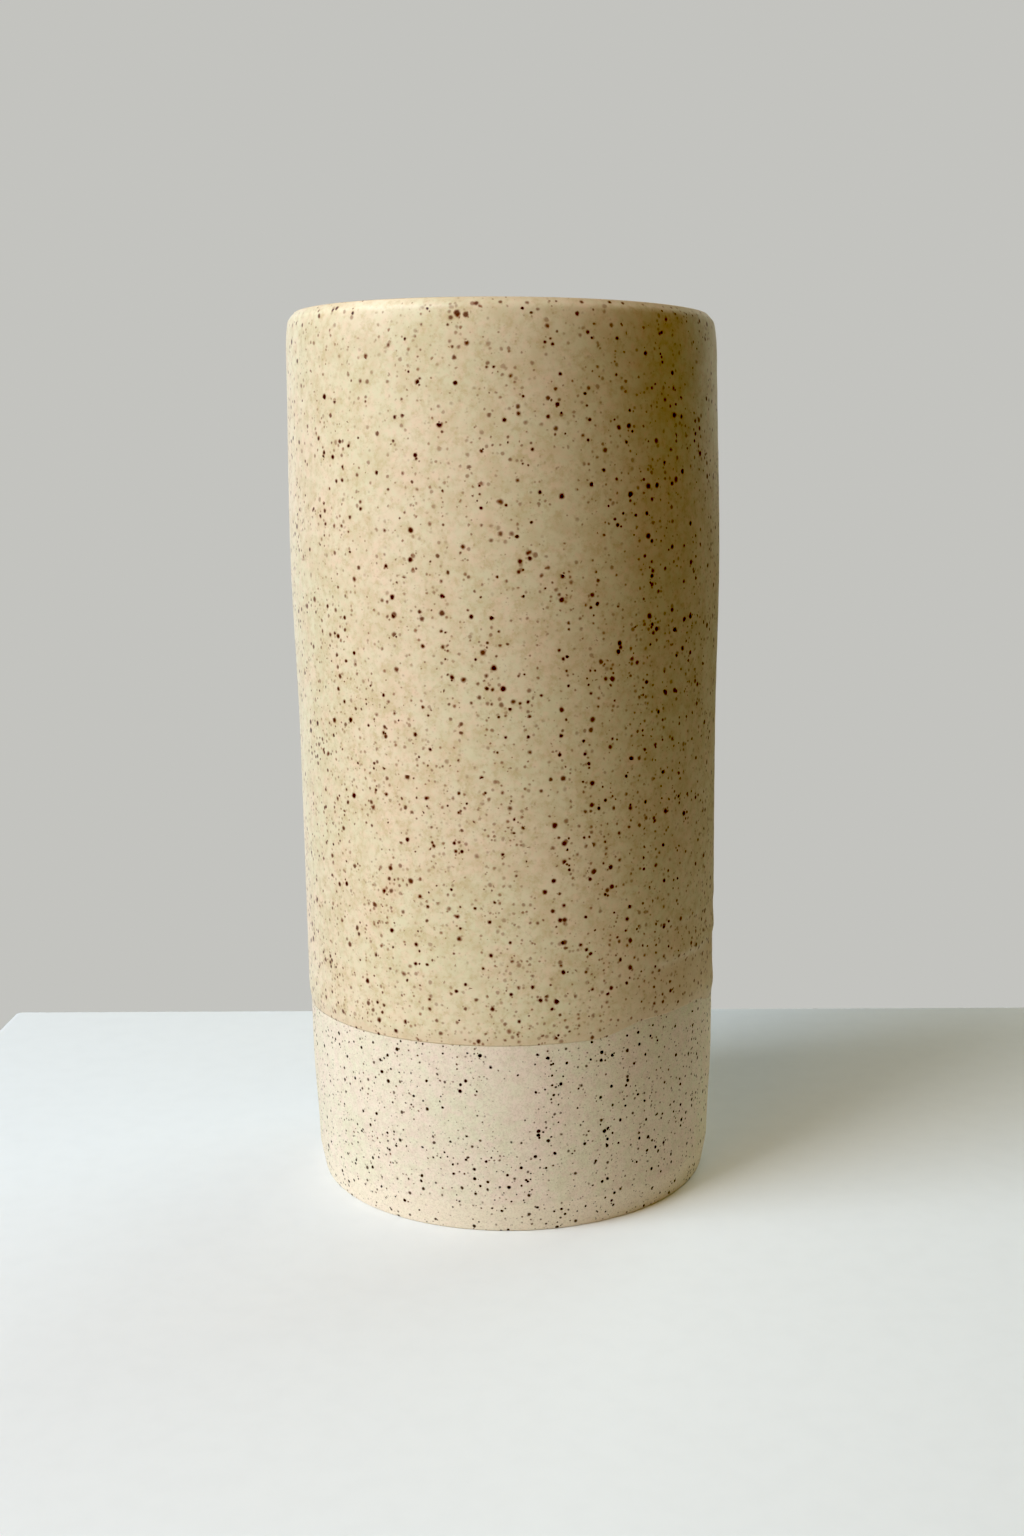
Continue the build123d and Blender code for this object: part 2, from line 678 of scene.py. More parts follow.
@dataclass(frozen=True)
class GrainPlace:
    """Where the clay's grains are read, the same in clay and glaze.

    Space is bent a little, so that grains aren't quite round. Clouds say where grains crowd, and
    there are somewhat more of them at the foot than at the lip.
    """

    bend_size: float = 0.9 * MM
    bend_reach: float = 0.34 * MM
    crowd_size: float = 11.0 * MM
    top: float = 200.0 * MM
    more_at_foot: float = 0.08
    fewer_at_top: float = -0.10

    def read(self, board: Board, place: Socket) -> tuple[Socket, Socket]:
        """Work out the bent place and the crowding.

        Args:
            board: The material.
            place: The place on the piece.

        Returns:
            The bent place, and the crowding from 0 to 1.
        """
        bend = board.noise(place, self.bend_size, detail=1.0)
        centred = board.vector("SUBTRACT", bend.outputs["Color"], (0.5, 0.5, 0.5))
        bent = board.vector("ADD", place, board.vector("SCALE", centred, self.bend_reach))
        crowd = board.noise(place, self.crowd_size).outputs["Fac"]
        more = board.ramp(board.level(place), 0.0, self.top, self.more_at_foot, self.fewer_at_top)
        return bent, board.maths("ADD", crowd, more)


# ---- Finishes ----


@dataclass(frozen=True)
class BareStoneware:
    """Unglazed fired clay: matt, pale pinkish cream, with crisp dark grains and fine tool lines."""

    pale: Colour = (0.750, 0.674, 0.540)
    rosy: Colour = (0.755, 0.625, 0.530)
    green: Colour = (0.700, 0.670, 0.505)
    sandy: Colour = (0.400, 0.310, 0.205)
    # Painted light: a lighter cream for the foot's lowest band, standing in for light bounced up
    # from the plinth.
    painted_foot_light: Colour = (0.800, 0.715, 0.570)
    grain: Colour = (0.028, 0.013, 0.008)
    faint_grain: Colour = (0.115, 0.050, 0.022)
    roughness: float = 0.74
    specular: float = 0.12
    grit_depth: float = 0.06 * MM
    line_depth: float = 0.035 * MM
    line_stretch: Colour = (0.05, 0.05, 1.0)
    # Painted light: the heights over which the lighter band at the foot fades in, and how much of
    # it is laid on.
    foot_light_top: float = 7.2 * MM
    foot_light_full: float = 6.4 * MM
    foot_light_share: float = 0.6

    def stains(self) -> tuple[Stain, ...]:
        """List the grains' marks, the faintest first."""
        faint, grain = self.faint_grain, self.grain
        return (
            Stain(DUST_GRAINS, grow=1.05, soft=0.50, low=0.00, high=0.45, ink=faint),
            Stain(SMALL_GRAINS, grow=1.20, soft=0.40, low=0.45, high=1.00, ink=faint),
            Stain(MIDDLE_GRAINS, grow=1.25, soft=0.40, low=0.70, high=1.00, ink=faint),
            Stain(MIDDLE_GRAINS, grow=1.05, soft=0.30, low=0.60, high=1.30, ink=grain),
            Stain(LARGE_GRAINS, grow=0.92, soft=0.25, low=0.95, high=1.00, ink=grain),
        )

    def make(self) -> bpy.types.Material:
        """Build the clay's material.

        Returns:
            The material.
        """
        board = Board("bare_stoneware")
        place = board.place()
        bent, crowd = GrainPlace().read(board, place)
        colour = self.ground(board, place)
        for stain in self.stains():
            colour = stain.lay(board, colour, bent, crowd)
        grit = board.noise(place, size=0.35 * MM, detail=3.0, roughness=0.7).outputs["Fac"]
        normal = board.bump(grit, self.grit_depth)
        normal = board.bump(self.tool_lines(board, place), self.line_depth, below=normal)
        return board.finish(Base_Color=colour, Roughness=self.roughness, Normal=normal,
                            Specular_IOR_Level=self.specular)

    def ground(self, board: Board, place: Socket) -> Socket:
        """Mix the clay's colour: rosy and greenish clouds in the pale, a sandy grain, and a painted
        lighter band round the foot that stands in for light bounced up from the plinth.

        Args:
            board: The material.
            place: Where to read.

        Returns:
            The colour.
        """
        wide = board.noise(place, size=15.0 * MM, detail=3.0, roughness=0.6)
        near = board.noise(place, size=2.2 * MM, detail=4.0, roughness=0.7)
        sand = board.noise(place, size=0.45 * MM, detail=2.0, roughness=0.7).outputs["Fac"]
        wide_rosy, wide_green, _ = board.split(wide.outputs["Color"])
        near_green, near_rosy, near_sandy = board.split(near.outputs["Color"])
        colour = board.veil(wide_rosy, self.pale, self.rosy, start=0.40, full=0.65)
        colour = board.veil(wide_green, colour, self.green, start=0.42, full=0.66)
        colour = board.veil(near_green, colour, self.green, start=0.40, full=0.66, share=0.70)
        colour = board.veil(near_rosy, colour, self.rosy, start=0.42, full=0.68, share=0.70)
        colour = board.veil(near_sandy, colour, self.sandy, start=0.42, full=0.72, share=0.18)
        # Painted light: the lowest few millimetres are lightened all round, standing in for light
        # bounced up from the plinth onto the foot.
        colour = board.veil(board.level(place), colour, self.painted_foot_light, start=self.foot_light_top,
                            full=self.foot_light_full, share=self.foot_light_share)
        return board.veil(sand, colour, self.sandy, start=0.42, full=0.72, share=0.30)

    def tool_lines(self, board: Board, place: Socket) -> Socket:
        """Draw the trimming tool's fine level lines: noise stretched round the pot."""
        stretched = board.vector("MULTIPLY", place, self.line_stretch)
        return board.noise(stretched, size=0.9 * MM, detail=3.0, roughness=0.6).outputs["Fac"]


@dataclass(frozen=True)
class CreamGlaze:
    """Satin cream glaze: cloudy, browner where thin, with iron grains bleeding through it."""

    name: str
    cream: Colour = (0.705, 0.600, 0.430)
    green: Colour = (0.660, 0.610, 0.412)
    rosy: Colour = (0.735, 0.560, 0.405)
    straw: Colour = (0.520, 0.415, 0.225)
    thin: Colour = (0.640, 0.490, 0.325)
    core: Colour = (0.034, 0.006, 0.004)
    halo: Colour = (0.175, 0.042, 0.014)
    faint: Colour = (0.215, 0.070, 0.024)
    roughness: float = 0.38
    specular: float = 0.35
    smoother: float = 0.06
    rougher: float = 0.08
    pebble_depth: float = 0.035 * MM

    def stains(self) -> tuple[Stain, ...]:
        """List the grains' marks: faint stains, then a dark core in a soft brown stain."""
        faint, halo, core = self.faint, self.halo, self.core
        return (
            Stain(DUST_GRAINS, grow=1.25, soft=0.80, low=0.00, high=0.30, ink=faint),
            Stain(SMALL_GRAINS, grow=1.80, soft=0.70, low=0.00, high=0.85, ink=faint),
            Stain(MIDDLE_GRAINS, grow=1.50, soft=0.50, low=0.45, high=1.00, ink=halo),
            Stain(MIDDLE_GRAINS, grow=0.95, soft=0.40, low=-0.60, high=1.10, ink=core),
            Stain(LARGE_GRAINS, grow=1.32, soft=0.40, low=0.80, high=1.00, ink=halo),
            Stain(LARGE_GRAINS, grow=0.92, soft=0.35, low=0.45, high=1.10, ink=core),
        )

    def make(self) -> bpy.types.Material:
        """Build the glaze's material.

        Returns:
            The material.
        """
        board = Board(self.name)
        place = board.place()
        bent, crowd = GrainPlace().read(board, place)
        colour = self.ground(board, place)
        for stain in self.stains():
            colour = stain.lay(board, colour, bent, crowd)
        pebble = board.noise(place, size=1.6 * MM).outputs["Fac"]
        sheen = board.noise(place, size=0.5 * MM).outputs["Fac"]
        normal = board.bump(pebble, self.pebble_depth)
        rough = board.ramp(sheen, start=0.2, end=0.8, low=self.roughness - self.smoother,
                           high=self.roughness + self.rougher)
        return board.finish(Base_Color=colour, Roughness=rough, Normal=normal,
                            Specular_IOR_Level=self.specular)

    def ground(self, board: Board, place: Socket) -> Socket:
        """Mix the glaze's own colour: green and rosy clouds in the cream, peach where thin.

        Args:
            board: The material.
            place: Where to read.

        Returns:
            The colour.
        """
        wide = board.noise(place, size=34.0 * MM).outputs["Fac"]
        near = board.noise(place, size=9.0 * MM, detail=3.0, roughness=0.6).outputs["Fac"]
        patch = board.noise(place, size=1.9 * MM, detail=4.0, roughness=0.7)
        blotch = board.noise(place, size=5.5 * MM, detail=2.0, roughness=0.6).outputs["Fac"]
        patch_rosy, patch_green, patch_straw = board.split(patch.outputs["Color"])
        coat = board.attribute(COAT_ATTRIBUTE)
        colour = board.veil(wide, self.cream, self.green, start=0.38, full=0.62)
        colour = board.veil(near, colour, self.rosy, start=0.48, full=0.70, share=0.65)
        colour = board.veil(patch_rosy, colour, self.rosy, start=0.40, full=0.70, share=0.68)
        colour = board.veil(patch_green, colour, self.green, start=0.40, full=0.70, share=0.68)
        colour = board.veil(patch_straw, colour, self.straw, start=0.42, full=0.74, share=0.70)
        colour = board.veil(blotch, colour, self.straw, start=0.42, full=0.66, share=0.30)
        return board.veil(coat, colour, self.thin, start=0.85, full=0.15, share=0.50)


# ---- The vase's three pieces ----


@dataclass
class Piece:
    """A piece of the vase: the pot's lines, how many columns go round, and what it stands for."""

    lines: PotLines
    columns: int
    name: str
    node: str
    slot: Slot

    def surface(self) -> Surface:
        """Work out the piece's surface, each in its own way."""
        raise NotImplementedError

    def build(self, finish: bpy.types.Material) -> bpy.types.Object:
        """Make the piece, dress it and tie it to the frame.

        Args:
            finish: The piece's material.

        Returns:
            The piece.
        """
        piece = self.surface().build(self.name)
        piece.data.materials.append(finish)
        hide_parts(self.node)
        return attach(piece, ROOT_BODY)


@dataclass
class ThrownClay(Piece):
    """The clay: underside, foot ring, facet, wall, lip, inner wall and floor, in one closed skin.

    lip_gap and turned_clear keep a rounding's rows clear of the rows of the wall next to it. The
    wall's rows are closest below low_wall_top, where the clay is bare.
    """

    columns: int = 320
    name: str = "thrown_clay"
    node: str = "stoneware_body"
    slot: Slot = Slot.CLAY
    pole_gap: float = 0.5 * MM
    under_rows: int = 30
    facet_rows: int = 8
    turned_clear: float = 0.9 * MM
    low_wall_top: float = 56.0 * MM
    low_wall_rows: int = 110
    high_wall_start: float = 58.0 * MM
    high_wall_rows: int = 50
    lip_gap: float = 8.0
    floor_rows: int = 16
    ring_tangent: float = 0.4
    groove_depth: float = 0.05 * MM
    groove_width: float = 0.40 * MM
    spiral_reach: float = 34.0 * MM
    spiral_pitch: float = 2.3 * MM
    spiral_depth: float = 0.07 * MM

    def foot(self) -> np.ndarray:
        """Draw the section from the underside's centre, round the foot ring and up the facet.

        Returns:
            Rows of radii and heights.
        """
        p = self.lines
        base = p.body - p.base_inset
        foot = base - p.facet_inset
        ring = foot - p.foot_ring_width
        lean = math.atan2(p.facet_inset, p.facet_height)
        recess_end = ring - p.foot_recess - p.foot_edge
        under = np.stack([np.linspace(self.pole_gap, recess_end, self.under_rows),
                          np.full(self.under_rows, p.foot_recess)], axis=1)
        inner_centre = (ring + self.ring_tangent * p.foot_edge, p.foot_edge)
        inner_edge = arc(inner_centre, p.foot_edge, start=-135.0, end=-90.0, count=5)
        outer_centre = (foot - p.foot_edge * math.tan((0.5 * math.pi - lean) / 2.0), p.foot_edge)
        outer_edge = arc(outer_centre, p.foot_edge, start=-90.0, end=-math.degrees(lean), count=6)
        bend = p.facet_round * math.tan(0.5 * lean)
        turned = arc((base - p.facet_round, p.facet_height + bend), p.facet_round,
                     start=-math.degrees(lean), end=0.0, count=4)
        facet = np.linspace(outer_edge[-1], turned[0], self.facet_rows)[1:-1]
        return np.vstack([under, inner_edge, outer_edge, facet, turned])

    def profile(self) -> np.ndarray:
        """Draw the section from the underside's centre, out, up, over the lip and in to the floor.

        Round stretches are arcs, and the wall's lines are the pot's own.

        Returns:
            Rows of radii and heights.
        """
        p = self.lines
        low_wall = np.linspace(p.facet_height + self.turned_clear, self.low_wall_top,
                               self.low_wall_rows)
        high_wall = np.linspace(self.high_wall_start, p.lip_centre_height, self.high_wall_rows)
        up = np.concatenate([low_wall, high_wall])
        wall = np.stack([p.outer(up), up], axis=1)
        lip = arc((p.lip_centre_radius, p.lip_centre_height), p.lip_round, start=self.lip_gap,
                  end=180.0 - self.lip_gap, count=11)
        down = np.linspace(p.lip_centre_height, p.floor_top + p.floor_round, self.high_wall_rows)
        inside = np.stack([p.inner(down), down], axis=1)
        sweep = arc(p.sweep_centre, p.floor_round, start=-self.lip_gap, end=-90.0, count=10)
        floor_radius = np.linspace(p.sweep_centre[0], self.pole_gap, self.floor_rows)[1:]
        floor = np.stack([floor_radius, np.full(len(floor_radius), p.floor_top)], axis=1)
        return np.vstack([self.foot(), wall, lip, inside, sweep, floor])

    def surface(self) -> Surface:
        """Carry the profile round the axis, with the hand's stray and the tool's marks.

        The marks are a groove on the facet's top edge, and a spiral cos(turn * radius / pitch +
        angle) on the level part of the underside.

        Returns:
            The surface.
        """
        p = self.lines
        rows = self.profile()
        angle = angles_round(self.columns)
        level = rows[:, 1:]
        radius = rows[:, :1] + p.hand(angle, level)
        outside = rows[:, :1] > p.lip_centre_radius
        radius = radius + np.where(outside, p.rings(angle, level), 0.0)
        groove = np.exp(-((level - p.facet_height) / self.groove_width) ** 2)
        radius = radius - np.where(outside, self.groove_depth * groove, 0.0)
        turned = (level == p.foot_recess) & (radius < self.spiral_reach)
        spiral = self.spiral_depth * np.cos(TURN * radius / self.spiral_pitch + angle)
        height = level + np.where(turned, spiral, 0.0)
        return Surface.of(p, [Band(radius, height)], self.columns, loop=False)


@dataclass(frozen=True)
class Lap:
    """A soft ridge where one dip lapped another, with a patch of thinner glaze below it.

    rise is how high it lies above the lap line. patch and ridge are how strong they are. The
    patch fades from patch_full down to patch_end, both measured from the lap.
    """

    rise: float
    patch: float
    patch_full: float
    patch_end: float
    ridge: float
    ridge_width: float
    step_top: float = 0.6 * MM
    step_foot: float = -0.9 * MM
    crest: float = 0.9 * MM

    def marks(self, above: np.ndarray) -> tuple[np.ndarray, np.ndarray]:
        """Work out the patch and the ridge.

        Args:
            above: Heights above the lap line.

        Returns:
            How thin the patch is, and how high the ridge.
        """
        over = above - self.rise
        step = ease(over, self.step_top, self.step_foot)
        patch = self.patch * step * ease(over, self.patch_end, self.patch_full)
        ridge = self.ridge * np.exp(-((over - self.crest) / self.ridge_width) ** 2)
        return patch, ridge


@dataclass
class DippedCoat(Piece):
    """The dipped glaze: a closed thin shell from the glaze line, over the lip, to the lap inside.

    A side is an angle round the axis, a spread is how far a mark reaches to both sides, and a
    share is a part of the full thickness. A gap, in degrees, keeps the lip's rows clear of the
    wall's. crisp keeps a row close to the edge, so that its corner stays sharp, and sunk is how
    far the hidden rows lie in the clay.
    """

    columns: int = 512
    name: str = "dipped_glaze"
    node: str = "outer_glaze"
    slot: Slot = Slot.DIPPED
    wall_rows: int = 140
    row_crowding: float = 1.25
    edge_start: float = -0.3 * MM
    edge_taper: float = 3.5 * MM
    thin_edge: float = 0.025 * MM
    dip_tilt: float = 1.7 * MM
    line_waver: float = 0.25 * MM
    grip_rise: float = 2.7 * MM
    grip_side: float = -0.72
    grip_spread: float = 0.47
    grip_core: float = 0.40
    lap_line: float = 59.0 * MM
    lap_rise: float = 0.5 * MM
    lap_side: float = -0.10
    lap_spread: float = 1.05
    lap_core: float = 0.55
    laps: tuple[Lap, ...] = (
        Lap(rise=0.0, patch=1.0, patch_full=-7.0 * MM, patch_end=-14.0 * MM, ridge=1.0,
            ridge_width=0.9 * MM),
        Lap(rise=8.5 * MM, patch=0.5, patch_full=-3.0 * MM, patch_end=-6.5 * MM, ridge=0.7,
            ridge_width=1.1 * MM),
    )
    full_share: float = 0.86
    cloud_share: float = 0.04
    patch_share: float = 0.58
    ridge_share: float = 0.10
    lip_rows: int = 17
    inside_rows: int = 9
    back_inside_rows: int = 5
    back_lip_rows: int = 7
    back_wall_rows: int = 12
    lip_gap: float = 10.0
    back_lip_gap: float = 15.0
    lip_thinning: float = 0.05 * MM
    lip_room: float = 0.02 * MM
    wear: float = 0.55
    wear_turn: float = 1.35
    wear_spread: float = 0.55
    inside_share: float = 0.9
    sunk: float = 0.06 * MM
    crisp: float = 0.06 * MM

    @staticmethod
    def beside(angle: np.ndarray, side: float) -> np.ndarray:
        """Measure how far round the pot each angle is from that side, from -pi to pi."""
        return np.mod(angle - side + math.pi, TURN) - math.pi

    def line_height(self, angle: np.ndarray) -> np.ndarray:
        """Find the glaze line: it is lowest at the back, and stops short where a finger held on.

        Args:
            angle: Angles round the axis.

        Returns:
            The line's height at each angle.
        """
        tilt = self.dip_tilt * (1.0 + np.sin(angle))
        off = np.abs(self.beside(angle, self.grip_side))
        grip = self.grip_rise * ease(off, self.grip_spread, self.grip_core * self.grip_spread)
        waver = Ripple(seed=31, lobes=9, rise=1.0).at(angle, np.zeros_like(angle))
        return self.lines.glaze_line - tilt + grip + self.line_waver * waver

    def thickness(self, angle: np.ndarray, height: np.ndarray) -> np.ndarray:
        """Glaze thickness: full on the wall, thin at its edge and where the pot was held.

        The held patches lie on the right side, below the laps, and fade to both sides as a smooth
        bump of the angle.

        Args:
            angle: Angles round the axis.
            height: Heights on the outer wall.

        Returns:
            The thickness, in metres.
        """
        side = self.beside(angle, self.lap_side)
        held = ease(np.abs(side), self.lap_spread, self.lap_core * self.lap_spread)
        above = height - (self.lap_line + self.lap_rise * side)
        patches, ridges = zip(*(lap.marks(above) for lap in self.laps))
        cloud = Ripple(seed=41, lobes=6, rise=30.0 * MM).at(angle, height)
        marks = self.ridge_share * sum(ridges) - self.patch_share * sum(patches)
        full = self.lines.glaze * (self.full_share + self.cloud_share * cloud + held * marks)
        from_edge = height - self.line_height(angle)
        return self.thin_edge + (full - self.thin_edge) * ease(from_edge, self.edge_start,
                                                               self.edge_taper)

    def on_lip(self, angle: np.ndarray, turn: np.ndarray, lift: np.ndarray | float,
               coat: np.ndarray | float = 1.0) -> Band:
        """Lay rows over the lip: arcs about its centre, lift outside the clay.

        Args:
            angle: Angles round the axis.
            turn: Angles about the lip's centre, from the outer side over to the inner.
            lift: How far outside the clay.
            coat: The coat's relative thickness.

        Returns:
            The rows.
        """
        p = self.lines
        stray = p.hand(angle, np.full_like(angle, p.lip_centre_height))
        radius = p.lip_centre_radius + stray + (p.lip_round + lift) * np.cos(turn)
        height = p.lip_centre_height + (p.lip_round + lift) * np.sin(turn)
        return Band(radius, height, coat)

    def surface(self) -> Surface:
        """Lay the shell: up the outside, over the lip, to the lap, and back sunk in the clay.

        Rows on the wall follow its line between the wavering glaze line and the lip. Rows on the
        lip turn about the lip's centre. The hidden rows lie just under the clay's own surface.

        Returns:
            The surface, with the coat's relative thickness on each vertex.
        """
        p = self.lines
        angle = angles_round(self.columns)
        bottom = self.line_height(angle)
        rise = p.lip_centre_height - bottom
        up = bottom + rise * np.linspace(0.0, 1.0, self.wall_rows)[:, None] ** self.row_crowding
        skin = self.thickness(angle, up)
        wall = Band(p.outside(angle, up, skin), up, skin / p.glaze)

        turn = np.linspace(self.lip_gap, 180.0 - self.lip_gap, self.lip_rows)
        turn = np.radians(turn)[:, None]
        lip_skin = np.minimum(skin[-1:] - self.lip_thinning * np.sin(turn), p.glaze - self.lip_room)
        worn = self.wear * np.exp(-((turn - self.wear_turn) / self.wear_spread) ** 2)
        lip = self.on_lip(angle, turn, lip_skin, lip_skin / p.glaze - worn)

        down = np.linspace(p.lip_centre_height, p.lap_height + self.crisp, self.inside_rows)
        down = np.append(down, p.lap_height)[:, None]
        inside = Band(p.inside(angle, down, -self.inside_share * p.glaze), down, self.inside_share)

        back_up = np.linspace(p.lap_height, p.lip_centre_height, self.back_inside_rows)[:, None]
        back_inside = Band(p.inside(angle, back_up, self.sunk), back_up)
        back_turn = np.linspace(180.0 - self.back_lip_gap, self.back_lip_gap, self.back_lip_rows)
        back_lip = self.on_lip(angle, np.radians(back_turn)[:, None], -self.sunk)
        back_down = bottom + rise * np.linspace(1.0, 0.0, self.back_wall_rows)[:, None]
        back_wall = Band(p.outside(angle, back_down, -self.sunk), back_down)
        bands = [wall, lip, inside, back_inside, back_lip, back_wall]
        return Surface.of(p, bands, self.columns, loop=True)


@dataclass
class PouredLiner(Piece):
    """The poured glaze: inner wall with finger rings, and a floor with the throwing spiral.

    The rings rise over finger_run from the floor's centre and die out over lap_run below the lap.
    The coat is thinner on their crests by crest_wear.
    """

    columns: int = 400
    name: str = "poured_glaze"
    node: str = "liner_glaze"
    slot: Slot = Slot.LINER
    sunk: float = 0.06 * MM
    crisp: float = 0.06 * MM
    pole_gap: float = 0.6 * MM
    floor_rows: int = 40
    wall_rows: int = 130
    sweep_gap: float = 3.0
    skin_share: float = 0.9
    finger_pitch: float = 9.0 * MM
    finger_depth: float = 0.16 * MM
    finger_vary: float = 0.3
    finger_run: float = 8.0 * MM
    lap_run: float = 12.0 * MM
    crest_wear: float = 0.35
    hidden_step: int = 4

    def stray(self, angle: np.ndarray, level: np.ndarray) -> np.ndarray:
        """The hand's stray on the wall, which fades out where the wall sweeps into the floor."""
        p = self.lines
        return p.hand(angle, level) * ease(level, p.floor_top, p.floor_top + p.floor_round)

    def surface(self) -> Surface:
        """Lay the liner: from the floor's centre up to the lap, and back sunk in the clay.

        The wall's rings and the floor's spiral are one wave, whose phase is the distance from the
        floor's centre over the finger's pitch, plus the angle.

        Returns:
            The surface, with the coat's relative thickness on each vertex.
        """
        p = self.lines
        sweep_end, sweep_level = p.sweep_centre
        floor = np.stack([np.linspace(self.pole_gap, sweep_end, self.floor_rows),
                          np.full(self.floor_rows, p.floor_top)], axis=1)
        sweep = arc(p.sweep_centre, p.floor_round, start=self.sweep_gap - 90.0,
                    end=-self.sweep_gap, count=16)
        up = np.append(np.linspace(sweep_level, p.lap_height - self.crisp, self.wall_rows),
                       p.lap_height)
        rows = np.vstack([floor, sweep, np.stack([p.inner(up), up], axis=1)])
        inward = self.inward(rows)
        run = np.r_[0.0, np.cumsum(np.hypot(*np.diff(rows, axis=0).T))][:, None]
        angle = angles_round(self.columns)
        level = rows[:, 1:]
        vary = Ripple(seed=53, lobes=2, rise=60.0 * MM).at(angle, level)
        strength = 1.0 - self.finger_vary + self.finger_vary * vary
        wave = np.cos(TURN * run / self.finger_pitch + angle) * strength
        fade = ease(run, 0.0, self.finger_run)
        fade = fade * ease(level, p.lap_height, p.lap_height - self.lap_run)
        crest = (0.5 + 0.5 * wave) * fade
        lift = self.skin_share * p.glaze + self.finger_depth * crest
        shown = Band(rows[:, :1] + inward[:, :1] * lift + self.stray(angle, level),
                     level + inward[:, 1:] * lift, 1.0 - self.crest_wear * crest)
        back, back_inward = rows[::-self.hidden_step], inward[::-self.hidden_step]
        hidden = Band(back[:, :1] - back_inward[:, :1] * self.sunk + self.stray(angle, back[:, 1:]),
                      back[:, 1:] - back_inward[:, 1:] * self.sunk)
        return Surface.of(p, [hidden.flipped(), shown.flipped()], self.columns, loop=False)

    def inward(self, rows: np.ndarray) -> np.ndarray:
        """Find the direction into the vase's hollow at each row: the profile's normal.

        Args:
            rows: Radii and heights, from the floor's centre up.

        Returns:
            Unit directions, as (n, 2).
        """
        along = np.gradient(rows, axis=0)
        along /= np.hypot(*along.T)[:, None]
        return np.stack([-along[:, 1], along[:, 0]], axis=1)


# ---- The studio ----


DAYLIGHT: Colour = (1.000, 0.990, 0.960)
WHITE: Colour = (1.000, 1.000, 1.000)


@dataclass(frozen=True)
class SoftLight:
    """A large soft light that points at the vase from a stated side and rise.

    turn is in degrees round the vase from the camera's side, positive to the right. rise is the
    angle above the vase's middle. spread says whether it lights matt surfaces, and shine whether
    it shows in glossy ones.
    """

    name: str
    turn: float
    rise: float
    size: tuple[float, float]
    power: float
    colour: Colour
    distance: float = 1.1
    spread: bool = True
    shine: bool = True

    def hang(self, target: Vector) -> bpy.types.Object:
        """Put the light in its place.

        Args:
            target: What it points at.

        Returns:
            The light.
        """
        turn, rise = math.radians(self.turn), math.radians(self.rise)
        away = Vector((math.sin(turn) * math.cos(rise), -math.cos(turn) * math.cos(rise),
                       math.sin(rise)))
        lamp = bpy.data.lights.new(self.name, "AREA")
        lamp.shape = "RECTANGLE"
        lamp.size, lamp.size_y = self.size
        lamp.energy = self.power
        lamp.color = self.colour
        light = bpy.data.objects.new(self.name, lamp)
        light.location = target + away * self.distance
        light.rotation_euler = (-away).to_track_quat("-Z", "Y").to_euler()
        light.visible_camera = False
        light.visible_diffuse = self.spread
        light.visible_glossy = self.shine
        bpy.context.scene.collection.objects.link(light)
        return light


